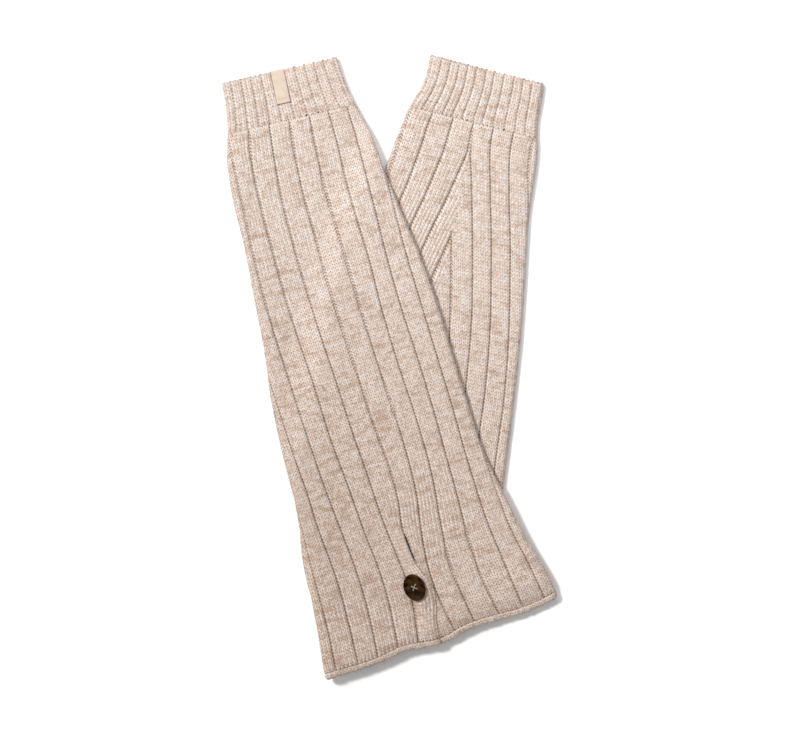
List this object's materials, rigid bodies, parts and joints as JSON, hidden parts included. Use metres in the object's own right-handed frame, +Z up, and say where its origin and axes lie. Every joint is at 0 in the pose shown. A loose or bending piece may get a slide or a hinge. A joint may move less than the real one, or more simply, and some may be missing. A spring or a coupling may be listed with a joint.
{
  "type": "pair of knitted leg warmers",
  "caption": "Pair of wide-ribbed knitted leg warmers laid flat and crossed, with narrow-ribbed cuffs, rolled hems and a buttoned vent.",
  "frame": {"origin": "middle of the pair's footprint, on the surface that it lies on", "axes": "+X to the right as the picture shows it, +Y towards the cuffs, +Z up from the surface"},
  "size_m": [0.2428, 0.4528, 0.0201],
  "materials": {
    "knit": "soft matte oatmeal marl knit with tan flecks",
    "label_tape": "smooth peach woven tape",
    "button": "polished dark brown horn look",
    "thread": "matte beige sewing thread"
  },
  "bodies": {
    "root": {"over_cuff": "knit", "over_leg": "knit", "over_hem": "knit", "over_button_band": "knit", "over_label": "label_tape", "over_button": "button", "over_button_thread": "thread", "under_cuff": "knit", "under_leg": "knit", "under_hem": "knit"}
  },
  "joints": []
}
